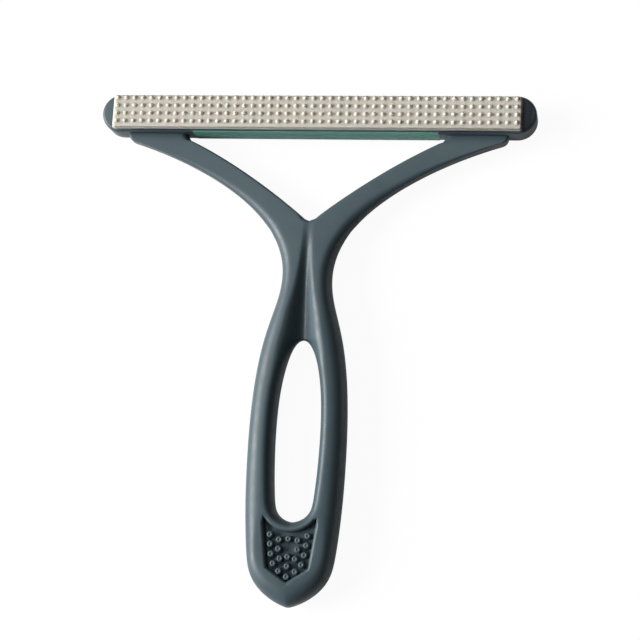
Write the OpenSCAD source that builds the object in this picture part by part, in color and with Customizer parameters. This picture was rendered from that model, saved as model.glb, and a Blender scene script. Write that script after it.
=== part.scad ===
// Double-sided pet hair removal brush: a straight head across the top of a
// Y-shaped frame, with a long finger loop for a handle.
// X runs along the head, +Y points from the handle to the head, +Z is the
// nubbed front. The brush lies on its back, with Z = 0 under the rear ribs.

/* [Head] */
// Length of the head, from end to end
head_l = 166; // [140:1:190]
// Height of the head, across the swipe
head_h = 14.6; // [14:0.1:18]
// Depth of the plastic core, from its back to the front pad's seat
head_t = 10.8; // [9.5:0.1:13]
// Height of the front pad's seat above the head's round ends
seat_h = 1.4; // [1:0.1:3]
// Radius that rounds the front edge of the round ends
cap_edge_r = 1.2; // [0.4:0.1:2]
// Radius that rounds the back edge of the core
back_edge_r = 0.6; // [0.2:0.1:1]

/* [Front pad] */
// Distance from the end of the head to the end of a pad
pad_inset = 5.1; // [3:0.1:15]
// Height of the nubbed pad
pad_h = 13; // [11:0.1:13.2]
// How far the pad sits below the middle of the core
pad_drop = 0.3; // [0:0.1:0.4]
// How far the pad stands off the core
pad_t = 2.2; // [1.6:0.1:4]
// Width of the step round the pad
ledge_w = 0.35; // [0.2:0.05:0.6]
// Height of the step above the core
ledge_h = 0.9; // [0.4:0.1:1.2]
// Radius of the pads' four corners
pad_corner_r = 1; // [0.8:0.1:2]
// Distance between nubs along a row
nub_pitch = 3.3; // [2.6:0.05:4]
// Distance between rows
row_pitch = 3; // [2.5:0.05:4]
// How far the field of nubs sits above the middle of the pad
nub_shift = 0.6; // [0:0.1:0.6]
// Radius of a nub at its foot
nub_r = 0.9; // [0.6:0.05:1.1]
// Radius of a nub's round tip
nub_tip_r = 0.4; // [0.2:0.05:0.5]
// Height of a nub
nub_h = 1.1; // [0.8:0.05:2]

/* [Rear pad] */
// How far the rear pad's plate stands off the core
rear_t = 1.2; // [0.8:0.1:4]
// Height of the rear pad
rear_h = 12.2; // [10.8:0.1:12.4]
// Distance between ribs
rib_pitch = 2.4; // [2:0.1:4]
// Width of a rib
rib_w = 1.2; // [0.8:0.1:1.6]
// Height of a rib
rib_h = 1.2; // [0.6:0.1:2]
// Length of the skirt that wraps under the head, between the arms
skirt_l = 90.4; // [60:0.2:92]
// Thickness of the skirt
skirt_t = 1.4; // [1:0.1:2]
// Width of the skirt's band in front of its groove
band_w = 3.8; // [2.5:0.1:5]
// Width of the groove along the skirt
groove_w = 0.7; // [0.4:0.1:1.2]
// Depth of the groove along the skirt
groove_d = 0.5; // [0.2:0.1:0.8]
// Width of the raised line behind the groove
line_w = 0.7; // [0.4:0.1:1.2]
// Width of the key that locks each pad in the core
key_w = 5; // [3:0.1:7]
// Depth of the key
key_d = 2; // [1:0.1:3]
// Distance from the end of a pad to the end of its key
key_inset = 8; // [3:0.5:25]

/* [Arms] */
// Distance from the middle to the inner edge of an arm at the head
arm_in = 49.1; // [47:0.1:55]
// Distance from the middle to the outer edge of an arm at the head
arm_out = 72.7; // [65:0.1:76]
// Depth of an arm at the head
arm_t = 5.6; // [4:0.1:6.4]
// How far an arm's front lies behind the front pad's seat
arm_set = 4.2; // [3:0.1:5]
// Height of the open triangle, from the head down to the crotch
arm_drop = 33.6; // [25:0.1:45]
// Radius of an arm's edges
arm_edge_r = 0.9; // [0.5:0.1:2]
// Radius of an arm's inner edge where it meets the head
root_edge_r = 3; // [1:0.1:4]

/* [Handle] */
// Distance from the crotch down to the finger loop
bridge_l = 44.8; // [38:0.1:60]
// Distance from the crotch down to the narrowest place
waist_drop = 21; // [18:0.1:24]
// Width at the narrowest place
waist_w = 18.5; // [16:0.1:26]
// Length of the finger loop's opening
hole_l = 67.1; // [60:0.1:85]
// Width of the finger loop's opening
hole_w = 17.2; // [12:0.1:18]
// Width across the loop
loop_w = 36.4; // [34:0.1:44]
// Solid end below the opening
end_l = 30.6; // [28:0.1:38]
// Depth of the handle
handle_t = 13.8; // [12:0.1:16]
// Rounding of the outer flank at the waist
waist_r = 4.2; // [3:0.1:5]
// Rounding of the outer flank along the loop
flank_r = 6; // [4:0.1:6.5]
// Rounding of the outer flank round the solid end
end_r = 8.5; // [5:0.1:10]
// Rounding of the opening's rim
rim_r = 3; // [1:0.1:3.5]
// Half width of the valley at the crotch, where it starts
crotch_r = 4; // [2:0.1:5]
// Half width of the valley where it runs out over the opening
valley_r = 9.3; // [6:0.1:10]

/* [Thumb pocket] */
// Width of the pocket at its top corners
pocket_w = 19.5; // [17:0.1:20]
// Length of the pocket's straight sides
pocket_side = 17.8; // [15:0.1:20]
// Bead between the opening and the pocket
bead_w = 3.8; // [3:0.1:5]
// Depth of the pocket
pocket_d = 3; // [1.5:0.1:4]
// Diameter of a grip peg
peg_d = 2.4; // [2:0.1:2.6]
// Radius of the rim on top of a peg
peg_rim_r = 0.5; // [0.2:0.05:0.5]
// Depth of the dimple in the top of a peg
dimple_d = 0.25; // [0.1:0.05:0.4]
// How far the pegs stay below the pocket's rim
peg_sink = 0.3; // [0:0.1:1]

/* [Hidden] */
$fn = 32;
slate = "#46565d";
cream = "#d9d3c6";
teal = "#4f8a80";

// Heights above the resting plane
core_z0 = rib_h + rear_t;
core_z1 = core_z0 + head_t;
seat_z = core_z1 - seat_h;
skirt_gap = 0.3;
skirt_wrap = 0.3;
skirt_z0 = core_z0 - skirt_wrap;
skirt_z1 = seat_z - skirt_gap;

// Lengths along the head
pad_l = head_l - 2 * pad_inset;
key_l = pad_l - 2 * key_inset;
arm_x1 = min(arm_out, (head_l - head_h) / 2 - 1);
arm_w = arm_out - arm_in;
foot_gap = 0.05;
nub_edge = ledge_w + nub_r + foot_gap;
nub_cols = floor((pad_l - 2 * nub_edge) / nub_pitch) + 1;
nub_rows = floor((pad_h - 2 * (nub_edge + nub_shift)) / row_pitch) + 1;
rib_count = floor((rear_h - rib_w) / rib_pitch) + 1;

// Places along the handle, from the head to the tip
total_l = head_h + arm_drop + bridge_l + hole_l + end_l;
head_y = (total_l - head_h) / 2;
pad_y = head_y - pad_drop;
neck_y = head_y - head_h / 2;
crotch_y = neck_y - arm_drop;
waist_y = crotch_y - waist_drop;
hole_y1 = crotch_y - bridge_l;
hole_y0 = hole_y1 - hole_l;
tip_y = hole_y0 - end_l;

function bezier(p, t) =
    (1 - t) ^ 3 * p[0] + 3 * (1 - t) ^ 2 * t * p[1] + 3 * (1 - t) * t ^ 2 * p[2] + t ^ 3 * p[3];
function along(chain, u) = let (k = min(floor(u), len(chain) - 1)) bezier(chain[k], u - k);
function toward(angle, d) = [cos(angle) * d, sin(angle) * d];
function mix(a, b, t) = a + (b - a) * t;
function ease(t) = let (s = max(0, min(1, t))) s * s * (3 - 2 * s);

// Outer edge of the right half: arm, waist, loop, shoulder, tip
foot = [arm_x1 - 0.05 * arm_w, neck_y - 0.11 * arm_w];
waist = [waist_w / 2, waist_y];
flank = [loop_w / 2, hole_y1 - 0.6 * hole_l];
shoulder = [0.434 * loop_w, tip_y + 0.5065 * end_l];
outer_edge = [
    [foot, foot + toward(196, 0.275 * arm_w), waist + [0, 0.593 * (arm_drop + waist_drop)], waist],
    [waist, waist - [0, 0.63 * (bridge_l - waist_drop)], flank + [0, 0.68 * hole_l], flank],
    [flank, flank - [0, 0.18 * hole_l], shoulder + [0.058 * loop_w, 0.49 * end_l], shoulder],
    [shoulder, shoulder - [0.041 * loop_w, 0.366 * end_l], [0.041 * loop_w, tip_y], [0, tip_y]]
];

// Inner edge of the right half: arm, crotch, and the opening's three stretches
heel = [arm_in - 0.04 * arm_w, neck_y - 0.1 * arm_w];
crotch = [0, crotch_y];
fork = crotch + [0.75, 0.6] * crotch_r;
brow = [hole_w / 2, hole_y1 - hole_l / 2];
cheek = [0.43 * hole_w, hole_y0 + 0.116 * hole_l];
arm_edge = [
    [heel, heel + toward(204, 0.316 * arm_in), fork + toward(40, 0.316 * arm_in), fork],
    [fork, fork - [0.25, 0.21] * crotch_r, crotch + [0.28 * crotch_r, 0], crotch]
];
hole_edge = [
    [[0, hole_y1], [0.22 * hole_w, hole_y1], brow + [0, 0.35 * hole_l], brow],
    [brow, brow - [0, 0.24 * hole_l], cheek + [0, 0.008 * hole_l], cheek],
    [cheek, cheek - [0.012 * hole_w, 0.11 * hole_l], [0, hole_y0], [0, hole_y0]]
];

// Place on the outer edge at a given height, found by halving
function outer_u(y, lo = 0, hi = 4, n = 20) =
    let (mid = (lo + hi) / 2)
    n == 0 ? mid
    : along(outer_edge, mid)[1] > y ? outer_u(y, mid, hi, n - 1) : outer_u(y, lo, mid, n - 1);
function outer_at(y) = along(outer_edge, outer_u(y));

// Stations run from the head to the tip. Each holds the two ends of a cross
// section, the width of its inner and outer rounding, the share of the depth
// that its inner wall keeps, and how far its inner side is a valley.
arm_end_u = 0.79;
crotch_u = 0.81;
arm_steps = 14;
fork_steps = 3;
bridge_steps = 14;
end_steps = 12;
crotch_floor = 0.97;
valley_floor = 0.45;
groove_softness = 0.45;
arm_floor = 0.3;
rim_floor = 0.2;
root_depth = 2.5;
root_stations = [
    for (lift = [root_depth, 0.1])
        [[arm_in + 0.4, neck_y + lift], [arm_x1, neck_y + lift], root_edge_r, arm_edge_r, arm_floor, 0],
    [[arm_in + 0.3, neck_y - 0.7], [arm_x1 - 0.1, neck_y - 1.2], root_edge_r, arm_edge_r, arm_floor, 0]
];
arm_stations = [
    for (s = [0:1 / arm_steps:1])
        [
            along(arm_edge, 0.04 * s + 0.96 * s ^ 2.8), along(outer_edge, arm_end_u * s),
            mix(root_edge_r, arm_edge_r, ease(s / 0.25)), mix(arm_edge_r, waist_r, s ^ 2), arm_floor, 0
        ]
];
fork_stations = [
    for (s = [1 / fork_steps:1 / fork_steps:1])
        [
            along(arm_edge, 1 + s), along(outer_edge, mix(arm_end_u, crotch_u, s)),
            mix(arm_edge_r, crotch_r, s), waist_r, mix(arm_floor, crotch_floor, s), s * groove_softness
        ]
];
crotch_skew = crotch_y - along(outer_edge, crotch_u)[1];
bridge_stations = [
    for (s = [1 / bridge_steps:1 / bridge_steps:1])
        let (y = mix(crotch_y, hole_y1, s))
        [
            [0, y], outer_at(y - crotch_skew * (1 - s)),
            mix(crotch_r, valley_r, s ^ 2.2), mix(waist_r, flank_r, ease(s * 2 - 1)),
            mix(crotch_floor, valley_floor, s), groove_softness
        ]
];
loop_stations = [
    for (u = [0.08, 0.16, each [0.25:0.125:2]])
        let (p = along(hole_edge, u), fade = max(0, 1 - 2 * u))
        [
            p, outer_at(p[1]),
            max(rim_r, valley_r - p[0]), flank_r,
            mix(rim_floor, valley_floor, fade), fade * groove_softness
        ]
];
cheek_u = outer_u(cheek[1]);
end_stations = [
    for (s = [1 / end_steps:1 / end_steps:1])
        [
            along(hole_edge, 2 + s ^ 0.8), along(outer_edge, mix(cheek_u, 4, s)),
            rim_r, mix(flank_r, end_r, s), rim_floor, 0
        ]
];
stations = concat(
    root_stations, arm_stations, fork_stations, bridge_stations, loop_stations, end_stations
);
first_mid = len(root_stations) + len(arm_stations) + len(fork_stations) - 1;
last_mid = first_mid + len(bridge_stations);
last = len(stations) - 1;

// One cross section, as a ring of points that starts on the outer flank.
// Depth grows from the arm's at the head to the handle's at the opening.
quarter = [18, 36, 54, 72];
function inner_side(a, r, floor, valley) = [
    r * mix(1 - cos(a), a / 90, valley),
    floor + (1 - floor) * mix(sin(a), (1 - cos(2 * a)) / 2, valley)
];
function outer_side(a, r, reach, wall) = [reach - r * (1 - cos(a)), wall + (1 - wall) * sin(a)];
function half_ring(reach, r_in, r_out, wall, floor, valley) = concat(
    [[reach, wall]],
    [for (a = quarter) outer_side(a, r_out, reach, wall)],
    [[reach - r_out, 1], [r_in, 1]],
    [for (i = [3:-1:0]) inner_side(quarter[i], r_in, floor, valley)],
    [[0, floor]]
);
function ring(st) =
    let (
        inner = st[0],
        span = st[1] - inner,
        reach = norm(span),
        r_out = min(st[3], 0.6 * reach),
        r_in = min(st[2], reach - r_out - 0.6),
        grow = ease((neck_y - inner[1] - span[1] / 2) / (neck_y - hole_y1)),
        half_t = mix(arm_t, handle_t, grow) / 2,
        mid_z = mix(core_z1 - arm_set - arm_t / 2, handle_t / 2, grow),
        wall = mix(0.6, 0.15, ease(grow * 2.5)),
        front = half_ring(reach, r_in, r_out, wall, st[4], st[5]),
        count = len(front),
        loop = concat(
            [[reach, 0]], front, [[0, 0]], [for (i = [count - 1:-1:0]) [front[i][0], -front[i][1]]]
        )
    )
    [for (p = loop) concat(inner + span / reach * p[0], mid_z + half_t * p[1])];

ring_n = 26;
flank_k = [12, 13, 14];
right = [for (st = stations) each ring(st)];
both = concat(right, [for (p = right) [-p[0], p[1], p[2]]]);
function on_mid(i, k) = i == last || i >= first_mid && i <= last_mid && k >= flank_k[0] && k <= flank_k[2];
function right_id(i, k) = i * ring_n + k % ring_n;
function left_id(i, k) = right_id(i, k) + (on_mid(i, k % ring_n) ? 0 : len(right));
function inside(i, k) = i >= first_mid && i < last_mid && k >= flank_k[0] && k < flank_k[2];
skin = [
    for (i = [0:last - 1], k = [0:ring_n - 1])
        if (!inside(i, k))
            each [
                [right_id(i + 1, k + 1), right_id(i, k + 1), right_id(i, k)],
                [right_id(i + 1, k), right_id(i + 1, k + 1), right_id(i, k)],
                [left_id(i, k), left_id(i, k + 1), left_id(i + 1, k + 1)],
                [left_id(i, k), left_id(i + 1, k + 1), left_id(i + 1, k)]
            ]
];
caps = [
    for (k = [1:ring_n - 2])
        each [
            [right_id(0, 0), right_id(0, k), right_id(0, k + 1)],
            [left_id(0, k + 1), left_id(0, k), left_id(0, 0)]
        ]
];

module yoke() {
    polyhedron(points = both, faces = concat(skin, caps));
}

// Head core: a flat bar with round ends, and the front pad's raised seat
module half_profile() {
    wall_h = seat_z - core_z0 - cap_edge_r;
    translate([0, core_z0]) square([head_h / 2 - back_edge_r, wall_h]);
    translate([0, core_z0 + back_edge_r]) square([head_h / 2, wall_h - back_edge_r]);
    translate([0, core_z0]) square([head_h / 2 - cap_edge_r, seat_z - core_z0]);
    translate([head_h / 2 - back_edge_r, core_z0 + back_edge_r]) circle(back_edge_r);
    translate([head_h / 2 - cap_edge_r, seat_z - cap_edge_r]) circle(cap_edge_r);
}
module core_bar() {
    straight = head_l - head_h;
    translate([-straight / 2, head_y, 0]) rotate([90, 0, 90]) linear_extrude(straight) {
        half_profile();
        mirror([1, 0]) half_profile();
    }
    for (side_x = [-1, 1])
        translate([side_x * straight / 2, head_y, 0]) rotate_extrude() half_profile();
    translate([0, pad_y, seat_z - cap_edge_r])
        rounded_plate(pad_l, pad_h, seat_h + cap_edge_r, pad_corner_r);
}

// Key of each pad: a bar with square ends, deep in the core
module key(z0, depth) {
    translate([-key_l / 2, head_y - key_w / 2, z0]) cube([key_l, key_w, depth]);
}

// Skirt of the rear pad, and the rebate that it fills
module skirt_block() {
    translate([-skirt_l / 2, neck_y, skirt_z0]) cube([skirt_l, skirt_t, skirt_z1 - skirt_z0]);
}

// Thumb pocket: arched top, straight sides, pointed foot
pocket_top = hole_y0 - bead_w;
arch_r = pocket_w / 2 * 1.22;
arch_y = pocket_top + arch_r;
corner_y = arch_y - sqrt(arch_r ^ 2 - (pocket_w / 2) ^ 2);
pocket_floor = handle_t - pocket_d;
module pocket_outline() {
    difference() {
        polygon([
            [-pocket_w / 2, corner_y], [-pocket_w / 2 + 2.3, corner_y - pocket_side],
            [0, corner_y - pocket_side - 5], [pocket_w / 2 - 2.3, corner_y - pocket_side],
            [pocket_w / 2, corner_y]
        ]);
        translate([0, arch_y]) circle(arch_r, $fn = 96);
    }
}

// Grip pegs: places in the right half, counted down from the arched top
pegs_right = [
    [6.9, -1.1], [6.6, -4.5], [6.1, -8], [5.2, -11.4], [3, -14],
    [3.4, -2.8], [3.5, -6.1], [2.8, -9.5]
];
pegs_mid = [[0, -2.4], [0, -8.8], [0, -12.2], [0, -15.9]];
module peg(at) {
    r = peg_d / 2;
    h = pocket_d - peg_sink;
    translate([at[0], pocket_top + at[1], pocket_floor]) rotate_extrude() {
        translate([0, -0.5]) square([r, h - peg_rim_r + 0.5]);
        translate([0, -0.5]) square([r - peg_rim_r, h - dimple_d + 0.5]);
        translate([r - peg_rim_r, h - peg_rim_r]) circle(peg_rim_r);
    }
}

module handle_frame() {
    color(slate) {
        difference() {
            union() {
                core_bar();
                yoke();
            }
            key(core_z0 - 1, key_d + 1);
            key(core_z1 - key_d, key_d + 1);
            skirt_block();
            translate([0, 0, pocket_floor]) linear_extrude(pocket_d + 1) pocket_outline();
        }
        for (at = concat(pegs_right, [for (p = pegs_right) [-p[0], p[1]]], pegs_mid)) peg(at);
    }
}

module rounded_plate(l, h, t, r) {
    linear_extrude(t) {
        square([l - 2 * r, h], center = true);
        square([l, h - 2 * r], center = true);
        for (sx = [-1, 1], sy = [-1, 1]) translate([sx * (l / 2 - r), sy * (h / 2 - r)]) circle(r);
    }
}

module nub() {
    rise = nub_h - nub_tip_r;
    cylinder(h = rise, r1 = nub_r, r2 = nub_tip_r);
    translate([0, 0, rise]) sphere(nub_tip_r);
}
module front_pad() {
    color(cream) {
        translate([0, pad_y, core_z1]) {
            rounded_plate(pad_l, pad_h, ledge_h, pad_corner_r);
            rounded_plate(pad_l - 2 * ledge_w, pad_h - 2 * ledge_w, pad_t, pad_corner_r - ledge_w);
        }
        key(core_z1 - key_d, key_d + ledge_h / 2);
        for (i = [0:nub_cols - 1], j = [0:nub_rows - 1])
            translate([
                (i - (nub_cols - 1) / 2) * nub_pitch,
                pad_y + nub_shift + (j - (nub_rows - 1) / 2) * row_pitch,
                core_z1 + pad_t
            ]) nub();
    }
}

module rear_pad() {
    groove_z = skirt_z1 - band_w - groove_w;
    rib_l = pad_l - 2 * pad_corner_r;
    color(teal) {
        translate([0, head_y, rib_h]) rounded_plate(pad_l, rear_h, rear_t, pad_corner_r);
        key(core_z0 - rear_t / 2, key_d + rear_t / 2);
        for (j = [0:rib_count - 1])
            translate([-rib_l / 2, head_y + (j - (rib_count - 1) / 2) * rib_pitch - rib_w / 2, 0])
                cube([rib_l, rib_w, rib_h + rear_t / 2]);
        difference() {
            skirt_block();
            for (z = [groove_z, groove_z - line_w - groove_w])
                translate([-skirt_l / 2 - 1, neck_y - 1, z]) cube([skirt_l + 2, 1 + groove_d, groove_w]);
        }
    }
}

handle_frame();
front_pad();
rear_pad();
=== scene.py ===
"""A double-sided pet hair brush: slate Y-shaped frame, nubbed cream pad, ribbed teal pad."""

import math

import bmesh
import bpy
from mathutils import Matrix, Vector


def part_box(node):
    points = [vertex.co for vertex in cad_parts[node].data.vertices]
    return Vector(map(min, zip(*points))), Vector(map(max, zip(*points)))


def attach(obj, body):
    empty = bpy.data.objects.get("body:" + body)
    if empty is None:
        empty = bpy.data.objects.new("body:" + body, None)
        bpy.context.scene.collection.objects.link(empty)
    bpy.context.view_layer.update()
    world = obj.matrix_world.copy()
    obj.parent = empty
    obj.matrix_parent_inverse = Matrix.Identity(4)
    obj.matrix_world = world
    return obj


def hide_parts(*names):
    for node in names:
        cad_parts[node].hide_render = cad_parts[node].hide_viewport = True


bl_info = {
    "name": "Pet hair removal brush",
    "version": (1, 0, 0),
    "blender": (4, 5, 0),
    "location": "3D View > Sidebar > Brush",
    "description": "Dresses the packed frame of a double-sided pet hair removal brush",
    "category": "Object",
}

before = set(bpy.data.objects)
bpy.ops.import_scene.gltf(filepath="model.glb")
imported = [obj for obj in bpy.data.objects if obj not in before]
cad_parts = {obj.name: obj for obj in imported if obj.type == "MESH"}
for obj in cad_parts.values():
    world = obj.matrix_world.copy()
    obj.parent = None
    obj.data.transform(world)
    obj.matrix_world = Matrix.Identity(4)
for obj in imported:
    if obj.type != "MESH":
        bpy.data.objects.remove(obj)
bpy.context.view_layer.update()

MM = 0.001
FRAME_LO, FRAME_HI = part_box("handle_frame")
FRAME_L = (FRAME_HI.x - FRAME_LO.x) / MM


def length(name, description, millimetres):
    """A length that shows in Blender's own unit, given in millimetres."""
    return bpy.props.FloatProperty(
        name=name, description=description, default=millimetres * MM, unit="LENGTH", precision=5
    )


def share(name, description, value):
    """A plain number between 0 and 1."""
    return bpy.props.FloatProperty(
        name=name, description=description, default=value, min=0, max=1, subtype="FACTOR"
    )


def swatch(name, description, value):
    """A colour written as sRGB hex."""
    return bpy.props.StringProperty(name=name, description=description, default=value)


class HandleSizes(bpy.types.PropertyGroup):
    """Outline and sections of the one-piece plastic frame."""

    head_l: length("Head length", "Length of the head, from end to end", FRAME_L)
    head_h: length("Head height", "Height of the head across the swipe", 14.6)
    head_t: length("Core depth", "Depth of the head's plastic core, with the pad's seat", 10.8)
    seat_h: length("Seat height", "Height of the front pad's seat above the end faces", 1.4)
    cap_edge: length("Cap edge", "Radius that rounds the front edge of the round ends", 1.2)
    core_edge: length("Core edge", "Radius that rounds the back edge of the core", 0.6)
    arm_in: length("Arm inside", "From the middle to an arm's inner edge at the head", 49.1)
    arm_out: length("Arm outside", "From the middle to an arm's outer edge at the head", 72.7)
    arm_t: length("Arm depth", "Depth of an arm at the head", 5.6)
    arm_set: length("Arm set", "From the front of the core back to an arm's front", 4.2)
    arm_drop: length("Arm drop", "From the head down to the crotch", 33.6)
    arm_edge: length("Arm edge", "Rounding of an arm's two edges", 0.9)
    root_edge: length("Root edge", "Rounding of an arm's inner edge where it meets the head", 3.0)
    bridge_l: length("Bridge", "From the crotch down to the finger loop", 44.8)
    waist_drop: length("Waist drop", "From the crotch down to the narrowest place", 21.0)
    waist_w: length("Waist width", "Width at the narrowest place", 18.5)
    hole_l: length("Opening length", "Length of the finger loop's opening", 67.1)
    hole_w: length("Opening width", "Width of the finger loop's opening", 17.2)
    loop_w: length("Loop width", "Width across the loop", 36.4)
    end_l: length("End length", "Solid end below the opening", 30.6)
    handle_t: length("Handle depth", "Depth of the handle", 13.8)
    waist_edge: length("Waist edge", "Rounding of the outer flank at the waist", 4.2)
    flank_edge: length("Flank edge", "Rounding of the outer flank along the loop", 6.0)
    end_edge: length("End edge", "Rounding of the outer flank round the end", 8.5)
    rim_edge: length("Rim edge", "Rounding of the opening's rim", 3.0)
    crotch_round: length("Crotch rounding", "Size of the round bottom between the arms", 4.6)
    valley_top: length("Valley top", "Half width of the valley at the crotch", 2.6)
    valley_foot: length("Valley foot", "Half width of the valley above the opening", 9.3)
    crotch_floor: share("Crotch floor", "Share of the depth left at the crotch", 0.97)
    softness: share("Valley softness", "0 is two round strands, 1 is a soft trough", 0.9)
    valley_floor: share("Valley floor", "Share of the depth left above the opening", 0.16)


class PocketSizes(bpy.types.PropertyGroup):
    """Thumb pocket in the solid end, and its grip pegs."""

    width: length("Pocket width", "Width of the pocket at its top corners", 19.5)
    side: length("Side length", "Length of the pocket's straight sides", 17.8)
    bead: length("Bead", "Bead between the opening and the pocket", 3.8)
    depth: length("Depth", "Depth of the pocket", 3.0)
    rim: length("Rim", "Rounding of the pocket's rim", 1.4)
    peg_d: length("Peg", "Diameter of a grip peg", 2.4)
    peg_sink: length("Peg sink", "How far the pegs stay below the rim", 0.3)
    dimple: length("Dimple", "Depth of the dimple in a peg's top", 0.25)


class PadSizes(bpy.types.PropertyGroup):
    """Nubbed front pad and ribbed rear pad."""

    pad_inset: length("Pad inset", "From the end of the head to the end of a pad", 5.1)
    pad_h: length("Pad height", "Height of the front pad", 13.0)
    pad_drop: length("Pad drop", "How far the front pad sits below the middle of the core", 0.3)
    pad_t: length("Pad stand", "How far the front pad stands off the core", 2.2)
    ledge: length("Ledge", "Width of the step round the front pad", 0.35)
    ledge_h: length("Ledge height", "Height of the step above the core", 0.9)
    edge: length("Edge", "Rounding of the pads' edges", 0.55)
    corner: length("Corner", "Radius of the pads' four corners", 1.0)
    nub_pitch: length("Nub pitch", "Distance between nubs along a row", 3.3)
    row_pitch: length("Row pitch", "Distance between rows", 3.0)
    nub_shift: length("Nub shift", "How far the nubs sit above the pad's middle", 0.6)
    nub_foot: length("Nub foot", "Radius of a nub at its foot", 0.9)
    nub_h: length("Nub height", "Height of a nub", 1.1)
    rib_pitch: length("Rib pitch", "Distance between ribs of the rear pad", 2.4)
    rib_w: length("Rib width", "Width of a rib", 1.2)
    rib_h: length("Rib height", "Height of a rib", 1.2)
    rear_t: length("Rear plate", "Thickness of the rear pad's plate", 1.2)
    rear_h: length("Rear height", "Height of the rear pad", 12.2)
    skirt_l: length("Skirt length", "Length of the skirt between the arms", 93.6)
    skirt_t: length("Skirt", "Thickness of the skirt", 1.4)
    groove_at: length("Groove place", "From the skirt's front edge to its groove", 3.8)
    groove_w: length("Groove width", "Width of the groove along the skirt", 0.7)
    groove_d: length("Groove depth", "Depth of the groove along the skirt", 0.5)


class BrushFinish(bpy.types.PropertyGroup):
    """Colours of the three mouldings and of the studio."""

    slate: swatch("Slate", "Matte slate-blue polypropylene", "#3B4A50")
    cream: swatch("Cream", "Off-white silicone", "#BFBBB1")
    teal: swatch("Teal", "Teal silicone", "#6BB0A0")
    floor: swatch("Floor", "Floor as the camera sees it", "#FFFFFF")
    bounce: swatch("Bounce", "Floor as the brush sees it", "#202020")


# Noise stays mostly between these two values, so a pattern is stretched from them
NOISE_ENDS = {"From_Min": 0.3, "From_Max": 0.7}


def to_linear(value):
    """sRGB hex to a linear colour with full alpha."""
    channels = [int(value[i:i + 2], 16) / 255 for i in (1, 3, 5)]
    linear = [c / 12.92 if c <= 0.04045 else ((c + 0.055) / 1.055) ** 2.4 for c in channels]
    return (*linear, 1.0)


def add_node(tree, kind, options=None, **inputs):
    """Adds a node. Options are its own settings. An input is a value or a socket to link, named
    as in Blender with _ for each space, or i and a number for a socket picked by its place."""
    made = tree.nodes.new(kind)
    for name, value in (options or {}).items():
        setattr(made, name, value)
    for name, value in inputs.items():
        key = int(name[1:]) if name[0] == "i" and name[1:].isdigit() else name.replace("_", " ")
        socket = made.inputs[key]
        if isinstance(value, bpy.types.NodeSocket):
            tree.links.new(value, socket)
        else:
            socket.default_value = value
    return made


def blank_material(name):
    """A material with an empty node tree."""
    material = bpy.data.materials.new(name)
    material.use_nodes = True
    material.node_tree.nodes.clear()
    return material, material.node_tree


def noise_scale(millimetres):
    """Scale that gives noise one patch or grain in so many millimetres, in object space."""
    return 1 / (millimetres * MM)


def drifting(tree, place, low, high, patch, detail=2.0):
    """A value that wanders between two ends over patches of a given size in millimetres."""
    drift = add_node(
        tree, "ShaderNodeTexNoise", Vector=place, Scale=noise_scale(patch), Detail=detail
    )
    return add_node(
        tree, "ShaderNodeMapRange", Value=drift.outputs["Fac"],
        To_Min=low, To_Max=high, **NOISE_ENDS
    ).outputs["Result"]


def mottled(tree, place, value, spread, patch):
    """A colour that drifts a little lighter and darker over patches of a given size."""
    drift = drifting(tree, place, 1 - spread, 1 + spread, patch, detail=3.0)
    return add_node(
        tree, "ShaderNodeVectorMath", {"operation": "MULTIPLY"},
        i0=to_linear(value)[:3], i1=drift
    ).outputs["Vector"]


def grain(tree, place, size, height, strength):
    """Bump of a fine random grain, its size and height in millimetres."""
    grit = add_node(
        tree, "ShaderNodeTexNoise", Vector=place, Scale=noise_scale(size), Detail=2.0
    )
    return add_node(
        tree, "ShaderNodeBump",
        Height=grit.outputs["Fac"], Distance=height * MM, Strength=strength
    ).outputs["Normal"]


def moulded_polypropylene(value):
    """Polypropylene from a spark-eroded mould: an even matte grain that spreads each highlight."""
    material, tree = blank_material("moulded_polypropylene")
    place = add_node(tree, "ShaderNodeTexCoord").outputs["Object"]
    shader = add_node(
        tree, "ShaderNodeBsdfPrincipled",
        Base_Color=mottled(tree, place, value, spread=0.05, patch=7),
        Roughness=drifting(tree, place, low=0.40, high=0.50, patch=3),
        IOR=1.49,
        Specular_IOR_Level=0.36,
        # The real grit is about 0.1 mm. It is drawn at 0.45 mm, so that it shows at all.
        Normal=grain(tree, place, size=0.45, height=0.012, strength=0.5),
    )
    add_node(tree, "ShaderNodeOutputMaterial", Surface=shader.outputs["BSDF"])
    return material


def soft_silicone(name, value, rough):
    """Press-moulded silicone rubber: soft sheen, light that creeps under the skin, faint dust."""
    material, tree = blank_material(name)
    place = add_node(tree, "ShaderNodeTexCoord").outputs["Object"]
    shader = add_node(
        tree, "ShaderNodeBsdfPrincipled",
        Base_Color=mottled(tree, place, value, spread=0.04, patch=2.2),
        Roughness=drifting(tree, place, low=rough - 0.05, high=rough + 0.05, patch=2),
        IOR=1.41,
        Specular_IOR_Level=0.15,
        Normal=grain(tree, place, size=0.5, height=0.01, strength=0.4),
        Subsurface_Weight=1.0,
        Subsurface_Scale=3.0 * MM,
        Subsurface_Radius=(1.0, 0.9, 0.8),
    )
    add_node(tree, "ShaderNodeOutputMaterial", Surface=shader.outputs["BSDF"])
    return material


def mix(a, b, t):
    """Straight blend from a to b."""
    return a + (b - a) * t


def ease(t):
    """Smooth step from 0 to 1."""
    s = max(0.0, min(1.0, t))
    return s * s * (3 - 2 * s)


def shares(count, first=0):
    """Even shares up to 1. The first one is 0 unless some are left out."""
    return [i / count for i in range(first, count + 1)]


def bezier(p, t):
    """Point on a cubic curve, from its four control points."""
    weights = ((1 - t) ** 3, 3 * (1 - t) ** 2 * t, 3 * (1 - t) * t ** 2, t ** 3)
    return sum((w * q for w, q in zip(weights, p)), Vector((0.0, 0.0)))


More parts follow.
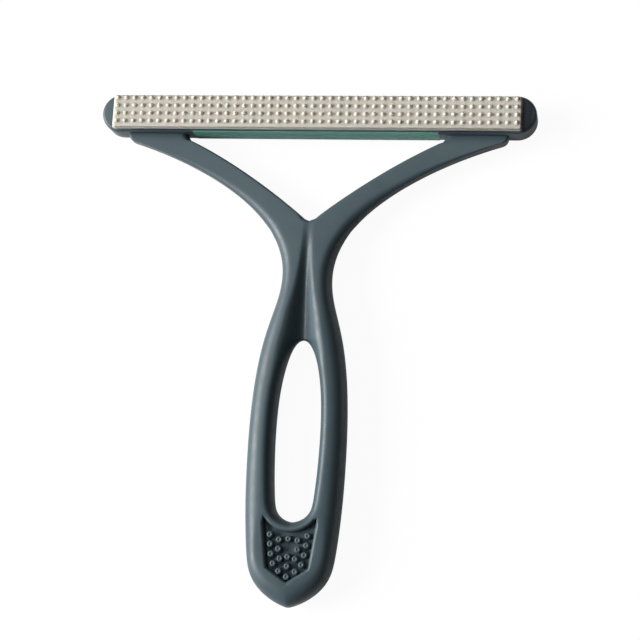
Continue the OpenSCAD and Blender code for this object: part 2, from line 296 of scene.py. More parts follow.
def along(chain, u):
    """Point on a chain of cubic curves: the whole part of u picks the curve."""
    k = min(int(u), len(chain) - 1)
    return bezier(chain[k], u - k)


def toward(angle, distance):
    """Step in a direction given in degrees."""
    a = math.radians(angle)
    return Vector((math.cos(a), math.sin(a))) * distance


class HandleShape:
    """Edges and cross sections of the right half of the handle, in millimetres."""

    SHARES = ("crotch_floor", "valley_floor", "softness")

    # How far the skirt stays behind the seat, and how far it reaches behind the core
    SKIRT_GAP, SKIRT_WRAP = 0.3, 0.3

    # Number of cross sections along each stretch
    STEPS = {"arm": 14, "fork": 3, "bridge": 14, "loop": 14, "end": 12}

    # First sections of an arm: how far each of its two ends stands in from the arm's edge, and
    # how far it lies above the head's underside
    ROOTS = (((0.4, 2.5), (0.0, 2.5)), ((0.4, 0.1), (0.0, 0.1)), ((0.3, -0.7), (0.1, -1.2)))

    # Where the arm ends and where the crotch lies, along the outer edge, and the halvings that
    # find a place on it
    ARM_END_U, CROTCH_U, HALVINGS = 0.79, 0.81, 30

    # Share of the depth that the inner wall keeps, on an arm and at the opening's rim
    ARM_FLOOR, RIM_FLOOR = 0.3, 0.2

    # An arm's inner edge starts slowly: its even part, the power of the rest, and the share of
    # the arm over which the root's rounding fades
    ARM_EVEN, ARM_SLOW, ROOT_FADE = 0.04, 2.8, 0.25

    # Powers that hold back the widening and the fall of the valley
    VALLEY_WIDENS, VALLEY_FALLS = 2.4, 1.2

    # First places on the opening's edge, and the power that spaces the last ones
    LOOP_START, END_SPACING = (0.08, 0.16, 0.25), 0.8

    # Angles at which a section's roundings have their points, and the two faces of a ring that
    # stand on its inner wall, counted from the outer flank
    QUARTER = (18, 36, 54, 72)
    INNER_WALL = range(2 * len(QUARTER) + 4, 2 * len(QUARTER) + 6)

    # Largest share of a section that its outer rounding takes, and the flat left beside it
    MOST_ROUND, LEAST_FLAT = 0.6, 0.6

    # Share of the half depth over which the outer flank is upright, on an arm and on the
    # handle, and how many times sooner than the depth it changes
    ARM_SIDE, HANDLE_SIDE, SIDE_LEAD = 0.6, 0.15, 2.5

    def __init__(self, sizes, pads):
        for name in sizes.__annotations__:
            value = getattr(sizes, name)
            setattr(self, name, value if name in self.SHARES else value / MM)
        total = self.head_h + self.arm_drop + self.bridge_l + self.hole_l + self.end_l
        self.core_z0 = (pads.rib_h + pads.rear_t) / MM
        self.core_z1 = self.core_z0 + self.head_t
        self.seat_z = self.core_z1 - self.seat_h
        self.skirt_top = self.seat_z - self.SKIRT_GAP
        self.skirt_low = self.core_z0 - self.SKIRT_WRAP
        self.face_z = self.core_z1 + pads.pad_t / MM
        self.pad_l = self.head_l - 2 * pads.pad_inset / MM
        self.head_y = (total - self.head_h) / 2
        self.pad_y = self.head_y - pads.pad_drop / MM
        self.neck_y = self.head_y - self.head_h / 2
        self.crotch_y = self.neck_y - self.arm_drop
        self.waist_y = self.crotch_y - self.waist_drop
        self.hole_y1 = self.crotch_y - self.bridge_l
        self.hole_y0 = self.hole_y1 - self.hole_l
        self.tip_y = self.hole_y0 - self.end_l
        self.make_edges()

    def make_edges(self):
        """Outer edge from arm to tip, inner edge of the arm, and the opening's edge."""
        v = Vector
        arm_w = self.arm_out - self.arm_in
        foot = v((self.arm_out - 0.05 * arm_w, self.neck_y - 0.11 * arm_w))
        waist = v((self.waist_w / 2, self.waist_y))
        flank = v((self.loop_w / 2, self.hole_y1 - 0.6 * self.hole_l))
        shoulder = v((0.434 * self.loop_w, self.tip_y + 0.5065 * self.end_l))
        tip = v((0, self.tip_y))
        fall = 0.593 * (self.arm_drop + self.waist_drop)
        swell = 0.63 * (self.bridge_l - self.waist_drop)
        self.outer = [
            [foot, foot + toward(196, 0.275 * arm_w), waist + v((0, fall)), waist],
            [waist, waist - v((0, swell)), flank + v((0, 0.68 * self.hole_l)), flank],
            [flank, flank - v((0, 0.18 * self.hole_l)),
             shoulder + v((0.058 * self.loop_w, 0.49 * self.end_l)), shoulder],
            [shoulder, shoulder - v((0.041 * self.loop_w, 0.366 * self.end_l)),
             tip + v((0.041 * self.loop_w, 0)), tip],
        ]
        heel = v((self.arm_in - 0.04 * arm_w, self.neck_y - 0.1 * arm_w))
        crotch = v((0, self.crotch_y))
        fork = crotch + v((0.75, 0.5)) * self.crotch_round
        reach = 0.316 * self.arm_in
        self.inner_arm = [
            [heel, heel + toward(204, reach), fork + toward(40, reach), fork],
            [fork, fork - v((0.25, 0.21)) * self.crotch_round,
             crotch + v((0.3 * self.crotch_round, 0)), crotch],
        ]
        top = v((0, self.hole_y1))
        brow = v((self.hole_w / 2, self.hole_y1 - self.hole_l / 2))
        cheek = v((0.43 * self.hole_w, self.hole_y0 + 0.116 * self.hole_l))
        low = v((0, self.hole_y0))
        self.cheek_y = cheek.y
        self.hole = [
            [top, top + v((0.22 * self.hole_w, 0)), brow + v((0, 0.35 * self.hole_l)), brow],
            [brow, brow - v((0, 0.24 * self.hole_l)), cheek + v((0, 0.008 * self.hole_l)), cheek],
            [cheek, cheek - v((0.012 * self.hole_w, 0.11 * self.hole_l)), low, low],
        ]

    def outer_u(self, y):
        """Place on the outer edge at a given height, found by halving."""
        low, high = 0.0, float(len(self.outer))
        for _ in range(self.HALVINGS):
            middle = (low + high) / 2
            if along(self.outer, middle).y > y:
                low = middle
            else:
                high = middle
        return (low + high) / 2

    def outer_at(self, y):
        return along(self.outer, self.outer_u(y))

    def stations(self):
        """Cross sections from the head to the tip, and the stretch of them whose inner walls
        meet in the middle. Each section holds its inner and outer end, the rounding at both,
        the share of the depth that the inner wall keeps, and how far its inner side is a
        valley."""
        arm = self.root_stations() + self.arm_stations() + self.fork_stations()
        bridge = self.bridge_stations()
        middle = range(len(arm) - 1, len(arm) - 1 + len(bridge))
        return arm + bridge + self.loop_stations() + self.end_stations(), middle

    def root_stations(self):
        made = []
        for (in_x, in_y), (out_x, out_y) in self.ROOTS:
            inner = Vector((self.arm_in + in_x, self.neck_y + in_y))
            outer = Vector((self.arm_out - out_x, self.neck_y + out_y))
            made.append((inner, outer, self.root_edge, self.arm_edge, self.ARM_FLOOR, 0.0))
        return made

    def arm_stations(self):
        made = []
        for s in shares(self.STEPS["arm"]):
            u = self.ARM_EVEN * s + (1 - self.ARM_EVEN) * s ** self.ARM_SLOW
            r_in = mix(self.root_edge, self.arm_edge, ease(s / self.ROOT_FADE))
            r_out = mix(self.arm_edge, self.waist_edge, s ** 2)
            made.append((
                along(self.inner_arm, u), along(self.outer, self.ARM_END_U * s),
                r_in, r_out, self.ARM_FLOOR, 0.0
            ))
        return made

    def fork_stations(self):
        made = []
        for s in shares(self.STEPS["fork"], 1):
            outer = along(self.outer, mix(self.ARM_END_U, self.CROTCH_U, s))
            made.append((
                along(self.inner_arm, 1 + s), outer,
                mix(self.arm_edge, self.valley_top, s), self.waist_edge,
                mix(self.ARM_FLOOR, self.crotch_floor, s), s * self.softness
            ))
        return made

    def bridge_stations(self):
        made = []
        skew = self.crotch_y - along(self.outer, self.CROTCH_U).y
        for s in shares(self.STEPS["bridge"], 1):
            y = mix(self.crotch_y, self.hole_y1, s)
            made.append((
                Vector((0, y)), self.outer_at(y - skew * (1 - s)),
                mix(self.valley_top, self.valley_foot, s ** self.VALLEY_WIDENS),
                mix(self.waist_edge, self.flank_edge, ease(s * 2 - 1)),
                mix(self.crotch_floor, self.valley_floor, s ** self.VALLEY_FALLS), self.softness
            ))
        return made

    def loop_stations(self):
        made = []
        count = self.STEPS["loop"]
        *near, start = self.LOOP_START
        for u in near + [start + (2 - start) * i / count for i in range(count + 1)]:
            p = along(self.hole, u)
            fade = max(0.0, 1 - 2 * u)
            made.append((
                p, self.outer_at(p.y),
                max(self.rim_edge, self.valley_foot - p.x), self.flank_edge,
                mix(self.RIM_FLOOR, self.valley_floor, fade), fade * self.softness
            ))
        return made

    def end_stations(self):
        made = []
        cheek_u = self.outer_u(self.cheek_y)
        for s in shares(self.STEPS["end"], 1):
            made.append((
                along(self.hole, 2 + s ** self.END_SPACING),
                along(self.outer, mix(cheek_u, len(self.outer), s)),
                self.rim_edge, mix(self.flank_edge, self.end_edge, s), self.RIM_FLOOR, 0.0
            ))
        return made

    def half_ring(self, reach, r_in, r_out, side, floor, valley):
        """Front half of a cross section, from the outer flank to the inner edge."""
        points = [(reach, side)]
        for angle in self.QUARTER:
            t = math.radians(angle)
            points.append((reach - r_out * (1 - math.cos(t)), side + (1 - side) * math.sin(t)))
        points += [(reach - r_out, 1.0), (r_in, 1.0)]
        for angle in reversed(self.QUARTER):
            t = math.radians(angle)
            across = r_in * mix(1 - math.cos(t), angle / 90, valley)
            up = mix(math.sin(t), (1 - math.cos(2 * t)) / 2, valley)
            points.append((across, floor + (1 - floor) * up))
        return points + [(0.0, floor)]

    def ring(self, station):
        """One closed cross section. Depth grows from the arm's to the handle's."""
        inner, outer, r_in, r_out, floor, valley = station
        span = outer - inner
        reach = span.length
        r_out = min(r_out, self.MOST_ROUND * reach)
        r_in = min(r_in, reach - r_out - self.LEAST_FLAT)
        grow = ease((self.neck_y - inner.y - span.y / 2) / (self.neck_y - self.hole_y1))
        half_t = mix(self.arm_t, self.handle_t, grow) / 2
        mid_z = mix(self.core_z1 - self.arm_set - self.arm_t / 2, self.handle_t / 2, grow)
        side = mix(self.ARM_SIDE, self.HANDLE_SIDE, ease(grow * self.SIDE_LEAD))
        front = self.half_ring(reach, r_in, r_out, side, floor, valley)
        back = [(d, -z) for d, z in reversed(front)]
        loop = [(reach, 0.0)] + front + [(0.0, 0.0)] + back
        points = [(inner + span / reach * d, mid_z + half_t * z) for d, z in loop]
        return [Vector((p.x, p.y, z)) * MM for p, z in points]


def new_piece(name, bm, material, smooth=True):
    """Turns a bmesh into a scene object with one material."""
    bmesh.ops.recalc_face_normals(bm, faces=bm.faces)
    mesh = bpy.data.meshes.new(name)
    bm.to_mesh(mesh)
    bm.free()
    if smooth:
        mesh.shade_smooth()
    mesh.materials.append(material)
    piece = bpy.data.objects.new(name, mesh)
    bpy.context.scene.collection.objects.link(piece)
    return piece


def applied(piece):
    """Applies a piece's modifiers, so that the next step sees the final mesh."""
    graph = bpy.context.evaluated_depsgraph_get()
    mesh = bpy.data.meshes.new_from_object(piece.evaluated_get(graph))
    piece.modifiers.clear()
    piece.data = mesh


def join_to(piece, other, operation):
    """Exact union or cut of two closed meshes. The other one is used up."""
    cut = piece.modifiers.new(operation.lower(), "BOOLEAN")
    cut.operation = operation
    cut.solver = "MANIFOLD"
    cut.object = other
    applied(piece)
    bpy.data.objects.remove(other)


def smooth_by_angle(piece, degrees):
    """Smooth shading, broken only at edges sharper than an angle."""
    mesh = piece.data
    mesh.shade_smooth()
    mesh.set_sharp_from_angle(angle=math.radians(degrees))


def settle(piece, node):
    """Hangs a piece on the root body and hides the CAD part that it stands in for."""
    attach(piece, "root")
    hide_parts(node)


# Angle in degrees beyond which an edge stays sharp
PLASTIC_SHARP, SILICONE_SHARP = 38, 30

# Rounds of subdivision of the yoke, and sides of a turned peg and nub
YOKE_ROUNDS, PEG_SIDES, NUB_SIDES = 2, 24, 16

# In metres: how near to the middle plane a corner belongs on it, and how near two corners meet
ON_PLANE, WELD = 1e-7, 1e-6

# In millimetres: how far a cutter reaches past the solid, how deep the seat stands in the core,
# and how far a pad's plate sinks into the core so that no gap shows
CUTTER_REACH, SEAT_ROOT, PAD_SINK = 1, 2, 0.02

# Smallest radius of a corner that is drawn inwards
LEAST_CORNER = 0.05

# Thumb pocket: radius of its arched top as a share of half its width, how far each side runs
# in, height of the pointed foot, and points along the half arch, the side and the foot
POCKET_ARCH, POCKET_TAPER, POCKET_POINT = 1.22, 2.3, 5
ARCH_STEPS, SIDE_STEPS, FOOT_STEPS = 12, 8, 6

# Least divisor of a corner's bisector, which keeps a sharp corner from shooting out
LEAST_MITRE = 0.7

# Pocket's wall: (outward, up) of its filleted foot above the floor, steps and share of a quarter
# turn of its rim, and (outward, up) of the cutter's top beyond the rim
WALL_FOOT = ((-0.45, 0), (-0.15, 0.1), (0.0, 0.4))
RIM_STEPS, RIM_TURN = 5, 0.94
CUTTER_TOP = (0.05, 0.5)

# Peg: its root below the pocket's floor, its rim's rounding as a share of its radius, steps to
# a half turn of the rim, and (share of the radius, share of the depth) of the dimple's points
PEG_ROOT, PEG_RIM, PEG_TURN = 0.4, 0.45, 8
PEG_DIMPLE = ((0.22, 0.8), (0.1, 1.0))

# Nub: (share of its radius, height) of its flared foot, the shares of its height by which the
# rest climbs, and the power that makes it blunt
NUB_FLARE = ((1.25, -0.1), (1.06, 0.06))
NUB_CLIMB, NUB_BLUNT = (0.2, 0.38, 0.56, 0.72, 0.85, 0.94, 0.99), 0.6


def skin_rings(bm, rings):
    """Closed shape: faces between rings of equal count, and a flat cap at both ends."""
    rows = [[bm.verts.new(p) for p in ring] for ring in rings]
    count = len(rows[0])
    for a, b in zip(rows, rows[1:]):
        for i in range(count):
            j = (i + 1) % count
            bm.faces.new((a[i], a[j], b[j], b[i]))
    bm.faces.new(rows[0])
    bm.faces.new(rows[-1])


def yoke_mesh(shape):
    """Both arms, the waist, the loop and the solid end: one half, mirrored and welded."""
    stations, middle = shape.stations()
    bm = bmesh.new()
    rows = [[bm.verts.new(p) for p in shape.ring(station)] for station in stations]
    count = len(rows[0])
    for i, (a, b) in enumerate(zip(rows, rows[1:])):
        for k in range(count):
            if i in middle and k in shape.INNER_WALL:
                continue
            j = (k + 1) % count
            bm.faces.new((a[k], a[j], b[j], b[k]))
    bm.faces.new(rows[0])
    for vert in bm.verts:
        if abs(vert.co.x) < ON_PLANE:
            vert.co.x = 0
    half = bm.verts[:] + bm.edges[:] + bm.faces[:]
    bmesh.ops.mirror(bm, geom=half, axis="X", merge_dist=WELD)
    loose = [vert for vert in bm.verts if not vert.link_faces]
    bmesh.ops.delete(bm, geom=loose, context="VERTS")
    return bm


def stadium(width, height, inset, count=24):
    """Round-ended outline, drawn inwards by a distance, centred on the origin."""
    r = height / 2 - inset
    half = width / 2 - height / 2
    points = []
    for centre, start in ((half, -90), (-half, 90)):
        for i in range(count + 1):
            points.append(Vector((centre, 0)) + toward(start + 180 * i / count, r))
    return points


def rounded_rectangle(width, height, radius, inset, count=6):
    """Rectangle with round corners, drawn inwards by a distance, centred on the origin."""
    r = max(radius - inset, LEAST_CORNER)
    points = []
    for sx, sy, start in ((1, -1, -90), (1, 1, 0), (-1, 1, 90), (-1, -1, 180)):
        centre = Vector((sx * (width / 2 - inset - r), sy * (height / 2 - inset - r)))
        for i in range(count + 1):
            points.append(centre + toward(start + 90 * i / count, r))
    return points


def add_stack(bm, outline, sizes, levels, y):
    """Closed stack of an outline at heights. Each level is (inset, height) in millimetres."""
    skin_rings(bm, [
        [Vector((p.x, y + p.y, z)) * MM for p in outline(*sizes, inset)] for inset, z in levels
    ])


def quarter_levels(inset, z, radius, up, count=4):
    """Levels that round an edge: from the wall to the face above (up=1) or below (up=-1)."""
    return [
        (inset + radius * (1 - math.cos(a)), z + up * radius * (math.sin(a) - 1))
        for a in [math.pi / 2 * i / count for i in range(count + 1)]
    ]


def core_mesh(shape):
    """Bar of the head with round ends and broken edges."""
    low = quarter_levels(0, shape.core_z0, shape.core_edge, -1)
    high = quarter_levels(0, shape.seat_z, shape.cap_edge, 1)
    bm = bmesh.new()
    add_stack(bm, stadium, (shape.head_l, shape.head_h), low[::-1] + high, shape.head_y)
    return bm


def seat_mesh(shape, pads):
    """Raised seat of the front pad, with the pad's outline."""
    outline = (shape.pad_l, pads.pad_h / MM, pads.corner / MM)
    levels = ((0, shape.seat_z - SEAT_ROOT), (0, shape.core_z1))
    bm = bmesh.new()
    add_stack(bm, rounded_rectangle, outline, levels, shape.pad_y)
    return bm


def bar_mesh(profile, half):
    """Straight bar along the head: a (y, z) profile that reaches as far to both sides."""
    bm = bmesh.new()
    skin_rings(bm, [[Vector((x, y, z)) * MM for y, z in profile] for x in (-half, half)])
    return bm


def channel(face, top, depth, drops):
    """Groove in the face at y = face: its four (y, z) points, at drops below its top edge."""
    return [(face + d, top - drop) for d, drop in zip((0, depth, depth, 0), drops)]


def rebate_mesh(shape, pads):
    """Cutter of the step under the head that takes the rear pad's skirt."""
    y0, y1 = shape.neck_y - CUTTER_REACH, shape.neck_y + pads.skirt_t / MM
    z0, z1 = shape.core_z0 - CUTTER_REACH, shape.skirt_top
    return bar_mesh(((y0, z0), (y1, z0), (y1, z1), (y0, z1)), pads.skirt_l / MM / 2)


def pocket_top(shape, sizes):
    """Highest place of the pocket, in the middle of its arch."""
    return shape.hole_y0 - sizes.bead / MM


def pocket_outline(shape, sizes):
    """Outline of the thumb pocket: arched top between two horns, sides, pointed foot."""
    half = sizes.width / MM / 2
    side = sizes.side / MM
    arch_r = half * POCKET_ARCH
    arch_y = pocket_top(shape, sizes) + arch_r
    arch = Vector((0, arch_y))
    turn = math.degrees(math.asin(half / arch_r))
    corner_y = arch_y - arch_r * math.cos(math.radians(turn))
    low = Vector((half - POCKET_TAPER, corner_y - side))
    point = Vector((0, corner_y - side - POCKET_POINT))
    right = [arch + toward(-90 + turn * i / ARCH_STEPS, arch_r) for i in range(ARCH_STEPS + 1)]
    right += [mix(right[-1], low, s) for s in shares(SIDE_STEPS, 1)]
    right += [mix(low, point, s) for s in shares(FOOT_STEPS, 1)]
    left = [Vector((-p.x, p.y)) for p in reversed(right[1:-1])]
    return right + left


def offset_outline(points, distance):
    """Moves each point of a clockwise outline outwards along its corner's bisector."""
    n = len(points)
    made = []
    for i in range(n):
        a = (points[i] - points[i - 1]).normalized()
        b = (points[(i + 1) % n] - points[i]).normalized()
        normal = Vector((-a.y - b.y, a.x + b.x))
        normal /= max(normal.length ** 2 / 2, LEAST_MITRE)
        made.append(points[i] + normal * distance)
    return made


def pocket_cutter(shape, sizes):
    """Cutter of the pocket, flared at its rim so that the cut leaves a rounded edge."""
    points = pocket_outline(shape, sizes)
    surface = shape.handle_t
    floor = surface - sizes.depth / MM
    rim = sizes.rim / MM
    levels = [(out, floor + up) for out, up in WALL_FOOT]
    for i in range(RIM_STEPS + 1):
        a = math.pi / 2 * i / RIM_STEPS * RIM_TURN
        levels.append((rim * (1 - math.cos(a)), surface - rim + rim * math.sin(a)))
    out, up = CUTTER_TOP
    levels.append((levels[-1][0] + out, surface + up))
    bm = bmesh.new()
    skin_rings(bm, [
        [Vector((p.x, p.y, z)) * MM for p in offset_outline(points, grow)] for grow, z in levels
    ])
    return bm


def peg_places(top):
    """Grip pegs, counted down from the pocket's arched top."""
    right = (
        (6.9, -1.1), (6.6, -4.5), (6.1, -8), (5.2, -11.4), (3, -14),
        (3.4, -2.8), (3.5, -6.1), (2.8, -9.5)
    )
    middle = ((0, -2.4), (0, -8.8), (0, -12.2), (0, -15.9))
    both = right + tuple((-x, y) for x, y in right) + middle
    return [(x, top + y) for x, y in both]


def lathe(bm, place, profile, count, base):
    """Turned shape: a profile of (radius, height) in millimetres, closed at both ends."""
    turns = [2 * math.pi * i / count for i in range(count)]
    skin_rings(bm, [
        [
            Vector((place[0] + r * math.cos(a), place[1] + r * math.sin(a), base + h)) * MM
            for a in turns
        ]
        for r, h in profile
    ])


def peg_profile(sizes):
    """A short peg with a rounded rim and a dimple in its top, rooted below the floor."""
    r = sizes.peg_d / MM / 2
    h = (sizes.depth - sizes.peg_sink) / MM
    dimple = sizes.dimple / MM
    rim = PEG_RIM * r
    profile = [(r, -PEG_ROOT), (r, h - rim)]
    for i in range(1, PEG_TURN - 1):
        a = math.pi * i / PEG_TURN
        profile.append((r - rim + rim * math.cos(a), h - rim + rim * math.sin(a)))
    return profile + [(across * r, h - dimple * deep) for across, deep in PEG_DIMPLE]


def pegs_mesh(shape, sizes):
    """All grip pegs, on the pocket's floor."""
    bm = bmesh.new()
    for place in peg_places(pocket_top(shape, sizes)):
        lathe(bm, place, peg_profile(sizes), PEG_SIDES, shape.handle_t - sizes.depth / MM)
    return bm


def nub_profile(sizes):
    """A soft bump with a flared foot and a round tip."""
    foot = sizes.nub_foot / MM
    h = sizes.nub_h / MM
    flare = [(foot * across, up) for across, up in NUB_FLARE]
    return flare + [(foot * (1 - k) ** NUB_BLUNT, h * k) for k in NUB_CLIMB]


class BRUSH_OT_handle_frame(bpy.types.Operator):
    """Make the one-piece plastic frame: core, arms, loop, pocket and pegs"""

    bl_idname = "brush.handle_frame"
    bl_label = "Handle frame"

    def execute(self, context):
        pads = context.scene.brush_pads
        pocket = context.scene.brush_pocket
        shape = HandleShape(context.scene.brush_handle, pads)
        plastic = moulded_polypropylene(context.scene.brush_finish.slate)
        piece = new_piece("slate_frame", yoke_mesh(shape), plastic)
        rounder = piece.modifiers.new("rounder", "SUBSURF")
        rounder.levels = rounder.render_levels = YOKE_ROUNDS
        applied(piece)
        for name, solid, operation in (
            ("core", core_mesh(shape), "UNION"),
            ("seat", seat_mesh(shape, pads), "UNION"),
            ("cutter", pocket_cutter(shape, pocket), "DIFFERENCE"),
            ("rebate", rebate_mesh(shape, pads), "DIFFERENCE"),
            ("pegs", pegs_mesh(shape, pocket), "UNION"),
        ):
            join_to(piece, new_piece(name, solid, plastic), operation)
        smooth_by_angle(piece, PLASTIC_SHARP)
        settle(piece, "handle_frame")
        return {"FINISHED"}


class BRUSH_OT_front_pad(bpy.types.Operator):
    """Make the cream pad with its rows of nubs"""

    bl_idname = "brush.front_pad"
    bl_label = "Front pad"

    # Rounding of the step's edge at most, and the gap left round the field of nubs
    STEP_EDGE, NUB_GAP = 0.2, 0.05

    def execute(self, context):
        sizes = context.scene.brush_pads
        shape = HandleShape(context.scene.brush_handle, sizes)
        silicone = soft_silicone("cream_silicone", context.scene.brush_finish.cream, rough=0.5)
        piece = new_piece("nubbed_pad", self.plate(shape, sizes), silicone)
        join_to(piece, new_piece("nubs", self.nubs(shape, sizes), silicone), "UNION")
        smooth_by_angle(piece, SILICONE_SHARP)
        settle(piece, "front_pad")
        return {"FINISHED"}

    def plate(self, shape, sizes):
        """Plate with round corners and a step all round."""
        outline = (shape.pad_l, sizes.pad_h / MM, sizes.corner / MM)
        ledge = sizes.ledge / MM
        ledge_z = shape.core_z1 + sizes.ledge_h / MM
        edge = sizes.edge / MM
        levels = [(0.0, shape.core_z1 - PAD_SINK)]
        levels += quarter_levels(0.0, ledge_z, min(edge, self.STEP_EDGE), 1)
        levels += [(ledge, ledge_z)]
        levels += quarter_levels(ledge, shape.face_z, edge, 1)
        bm = bmesh.new()
        add_stack(bm, rounded_rectangle, outline, levels, shape.pad_y)
        return bm

    def nubs(self, shape, sizes):
        """As many rows and columns of nubs as the plate has room for."""
        pitch = sizes.nub_pitch / MM
        row = sizes.row_pitch / MM
        shift = sizes.nub_shift / MM
        room = sizes.ledge / MM + sizes.nub_foot / MM + self.NUB_GAP
        columns = int((shape.pad_l - 2 * room) / pitch) + 1
        rows = int((sizes.pad_h / MM - 2 * (room + shift)) / row) + 1
        bm = bmesh.new()
        for i in range(columns):
            for j in range(rows):
                x = (i - (columns - 1) / 2) * pitch
                y = shape.pad_y + shift + (j - (rows - 1) / 2) * row
                lathe(bm, (x, y), nub_profile(sizes), NUB_SIDES, shape.face_z)
        return bm


class BRUSH_OT_rear_pad(bpy.types.Operator):
    """Make the teal pad with its ribs and its skirt"""

    bl_idname = "brush.rear_pad"
    bl_label = "Rear pad"

    # Rounding of a rib's top as a share of its width
    RIB_ROUND = 0.42

    # Skirt: bevels of its front and back edge, and the slanted walls of its groove, as shares
    # of the groove's width
    FRONT_BEVEL, BACK_BEVEL, GROOVE_WALLS = 0.15, 0.3, (0, 0.2, 0.8, 1)

    # Fine line behind the groove: its distance, its depth as a share of the groove's, and its
    # walls
    LINE_GAP, LINE_DEPTH, LINE_WALLS = 0.6, 0.5, (0, 0.1, 0.3, 0.4)

    def execute(self, context):
        sizes = context.scene.brush_pads
        shape = HandleShape(context.scene.brush_handle, sizes)
        silicone = soft_silicone("teal_silicone", context.scene.brush_finish.teal, rough=0.45)
        piece = new_piece("ribbed_pad", self.plate(shape, sizes), silicone)
        join_to(piece, new_piece("ribs", self.ribs(shape, sizes), silicone), "UNION")
        join_to(piece, new_piece("skirt", self.skirt(shape, sizes), silicone), "UNION")
        smooth_by_angle(piece, SILICONE_SHARP)
        settle(piece, "rear_pad")
        return {"FINISHED"}

    def plate(self, shape, sizes):
        """Plate with round corners and a round back edge."""
        outline = (shape.pad_l, sizes.rear_h / MM, sizes.corner / MM)
        levels = quarter_levels(0.0, sizes.rib_h / MM, sizes.edge / MM, -1)[::-1]
        levels += [(0.0, shape.core_z0 + PAD_SINK)]
        bm = bmesh.new()
        add_stack(bm, rounded_rectangle, outline, levels, shape.head_y)
        return bm

    def ribs(self, shape, sizes):
        """As many lengthwise ribs as the plate has room for."""
        pitch = sizes.rib_pitch / MM
        width = sizes.rib_w / MM
        outline = (shape.pad_l - 2 * sizes.corner / MM, width, width / 2)
        count = int((sizes.rear_h / MM - width) / pitch) + 1
        levels = quarter_levels(0.0, 0.0, width * self.RIB_ROUND, -1)[::-1]
        levels += [(0.0, sizes.rib_h / MM + sizes.edge / MM)]
        bm = bmesh.new()
        for j in range(count):
            y = shape.head_y + (j - (count - 1) / 2) * pitch
            add_stack(bm, rounded_rectangle, outline, levels, y)
        return bm

    def skirt(self, shape, sizes):
        """Strip under the head between the arms, with a groove and a fine line along it."""
        out = shape.neck_y
        back = out + sizes.skirt_t / MM
        top = shape.skirt_top
        low = shape.skirt_low
        groove = top - sizes.groove_at / MM
        width = sizes.groove_w / MM
        depth = sizes.groove_d / MM
        line = groove - width - self.LINE_GAP
        return bar_mesh([
            (back, top), (out + self.FRONT_BEVEL, top), (out, top - self.FRONT_BEVEL),
            *channel(out, groove, depth, [wall * width for wall in self.GROOVE_WALLS]),
            *channel(out, line, self.LINE_DEPTH * depth, self.LINE_WALLS),
            (out, low + self.BACK_BEVEL), (out + self.BACK_BEVEL, low), (back, low),
        ], sizes.skirt_l / MM / 2)


def by_ray(tree, mirrored, straight):
    """One value for rays from the camera, another for all others."""
    path = add_node(tree, "ShaderNodeLightPath")
    return add_node(
        tree, "ShaderNodeMapRange", Value=path.outputs["Is Camera Ray"],
        To_Min=mirrored, To_Max=straight
    ).outputs["Result"]


def seen_share(tree):
    """1 for rays that show the studio itself: to the camera, in gloss and through glass."""
    path = add_node(tree, "ShaderNodeLightPath")
    first = add_node(
        tree, "ShaderNodeMath", {"operation": "MAXIMUM"},
        i0=path.outputs["Is Camera Ray"], i1=path.outputs["Is Glossy Ray"]
    )
    return add_node(
        tree, "ShaderNodeMath", {"operation": "MAXIMUM"},
        i0=first.outputs[0], i1=path.outputs["Is Transmission Ray"]
    ).outputs[0]


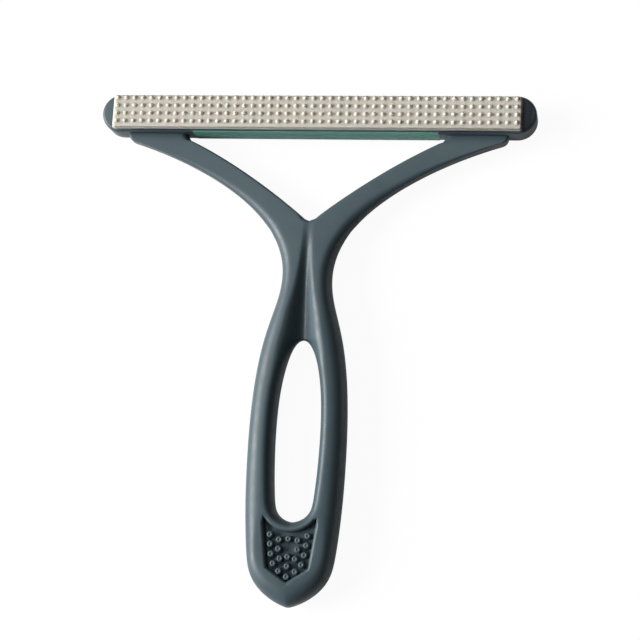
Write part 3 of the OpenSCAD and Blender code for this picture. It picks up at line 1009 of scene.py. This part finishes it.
class BRUSH_OT_stage(bpy.types.Operator):
    """Set up the camera, the soft studio light and the pale floor"""

    bl_idname = "brush.stage"
    bl_label = "Stage"

    # Fitted to the photograph: focal length in pixels of the 640-pixel frame, the camera's
    # place over the middle of the nub field, and its turns about its own axes
    FRAME_PX = 640
    FOCAL_PX = 1700
    SENSOR = 36.0
    PLACE = (114.89, -189.20, 600.77)
    TURNS = (-0.17748, -0.17734, -0.05817)
    NEAREST = 0.01

    # Where the lamps look, in metres
    TARGET = Vector((0, 0, 0.01))

    # Share of the paper's white that is its own glow. In reflections it is less, so that
    # the paper shows its shadow there and the brush stays dark close to it.
    GLOW = 0.95
    GLOW_IN_GLOSS = 0.3

    # Light that the world itself gives the brush, and half the side of the paper, in metres
    FILL = 0.01
    PAPER = 4

    def execute(self, context):
        scene = context.scene
        self.camera(scene)
        self.softbox(
            scene, "key", azimuth=181, elevation=29, distance=3.0, size=(2.2, 1.8), power=220
        )
        self.softbox(
            scene, "top", azimuth=112, elevation=60, distance=1.2, size=(0.6, 0.6), power=2.6
        )
        self.world(scene)
        self.floor(scene)
        scene.view_settings.view_transform = "Standard"
        return {"FINISHED"}

    def camera(self, scene):
        pads = scene.brush_pads
        shape = HandleShape(scene.brush_handle, pads)
        centre = Vector((0, shape.pad_y + pads.nub_shift / MM, shape.face_z))
        about_x, about_y, about_z = self.TURNS
        turn = (
            Matrix.Rotation(about_z, 3, "Z") @ Matrix.Rotation(about_x, 3, "X")
            @ Matrix.Rotation(about_y, 3, "Y")
        )
        data = bpy.data.cameras.new("camera")
        data.sensor_width = self.SENSOR
        data.lens = self.SENSOR * self.FOCAL_PX / self.FRAME_PX
        data.clip_start = self.NEAREST
        camera = bpy.data.objects.new("camera", data)
        place = (centre + Vector(self.PLACE)) * MM
        camera.matrix_world = Matrix.Translation(place) @ turn.transposed().to_4x4()
        scene.collection.objects.link(camera)
        scene.camera = camera

    def softbox(self, scene, name, azimuth, elevation, distance, size, power):
        """A flat lamp that looks at the brush. Azimuth 0 is to the right, 90 past the head."""
        a, e = math.radians(azimuth), math.radians(elevation)
        away = Vector((math.cos(a) * math.cos(e), math.sin(a) * math.cos(e), math.sin(e)))
        data = bpy.data.lights.new(name, "AREA")
        data.shape = "RECTANGLE"
        data.size, data.size_y = size
        data.energy = power
        lamp = bpy.data.objects.new(name, data)
        lamp.location = self.TARGET + away * distance
        lamp.rotation_mode = "QUATERNION"
        lamp.rotation_quaternion = (-away).to_track_quat("-Z", "Y")
        scene.collection.objects.link(lamp)

    def world(self, scene):
        """Faint fill light, which the camera sees as white."""
        world = bpy.data.worlds.new("studio")
        world.use_nodes = True
        tree = world.node_tree
        tree.nodes.clear()
        seen = seen_share(tree)
        fill = add_node(tree, "ShaderNodeBackground", Color=(1, 1, 1, 1), Strength=self.FILL)
        white = add_node(
            tree, "ShaderNodeBackground",
            Color=(1, 1, 1, 1), Strength=by_ray(tree, self.GLOW_IN_GLOSS, 1.0)
        )
        both = add_node(
            tree, "ShaderNodeMixShader", i0=seen, i1=fill.outputs[0], i2=white.outputs[0]
        )
        add_node(tree, "ShaderNodeOutputWorld", Surface=both.outputs[0])
        scene.world = world

    def floor(self, scene):
        """White seamless paper: the camera sees it white, and it keeps the brush's shadow."""
        finish = scene.brush_finish
        material, tree = blank_material("seamless_paper")
        seen = seen_share(tree)
        colour = add_node(
            tree, "ShaderNodeMix", {"data_type": "RGBA"},
            i0=seen, i6=to_linear(finish.bounce), i7=to_linear(finish.floor)
        )
        paper = add_node(tree, "ShaderNodeBsdfDiffuse", Color=colour.outputs[2])
        glow = add_node(tree, "ShaderNodeEmission", Color=to_linear(finish.floor), Strength=1.0)
        part = add_node(
            tree, "ShaderNodeMath", {"operation": "MULTIPLY"},
            i0=seen, i1=by_ray(tree, self.GLOW_IN_GLOSS, self.GLOW)
        )
        both = add_node(
            tree, "ShaderNodeMixShader",
            i0=part.outputs[0], i1=paper.outputs[0], i2=glow.outputs[0]
        )
        add_node(tree, "ShaderNodeOutputMaterial", Surface=both.outputs[0])
        bm = bmesh.new()
        bmesh.ops.create_grid(bm, x_segments=2, y_segments=2, size=self.PAPER)
        floor = new_piece("floor", bm, material, smooth=False)


OPERATORS = (
    BRUSH_OT_handle_frame,
    BRUSH_OT_front_pad,
    BRUSH_OT_rear_pad,
    BRUSH_OT_stage,
)
GROUPS = {
    "brush_handle": HandleSizes,
    "brush_pocket": PocketSizes,
    "brush_pads": PadSizes,
    "brush_finish": BrushFinish,
}


class BRUSH_PT_panel(bpy.types.Panel):
    """Sizes and colours of the brush, and a button for each piece"""

    bl_idname = "BRUSH_PT_panel"
    bl_label = "Pet hair brush"
    bl_space_type = "VIEW_3D"
    bl_region_type = "UI"
    bl_category = "Brush"

    def draw(self, context):
        for operator in OPERATORS:
            self.layout.operator(operator.bl_idname)
        for name, group in GROUPS.items():
            box = self.layout.box()
            for value in group.__annotations__:
                box.prop(getattr(context.scene, name), value)


def register():
    for group in GROUPS.values():
        bpy.utils.register_class(group)
    for name, group in GROUPS.items():
        setattr(bpy.types.Scene, name, bpy.props.PointerProperty(type=group))
    for operator in OPERATORS:
        bpy.utils.register_class(operator)
    bpy.utils.register_class(BRUSH_PT_panel)


def unregister():
    bpy.utils.unregister_class(BRUSH_PT_panel)
    for operator in reversed(OPERATORS):
        bpy.utils.unregister_class(operator)
    for name in GROUPS:
        delattr(bpy.types.Scene, name)
    for group in GROUPS.values():
        bpy.utils.unregister_class(group)


def main():
    register()
    bpy.ops.brush.stage()
    bpy.ops.brush.handle_frame()
    bpy.ops.brush.front_pad()
    bpy.ops.brush.rear_pad()


if __name__ == "__main__":
    main()
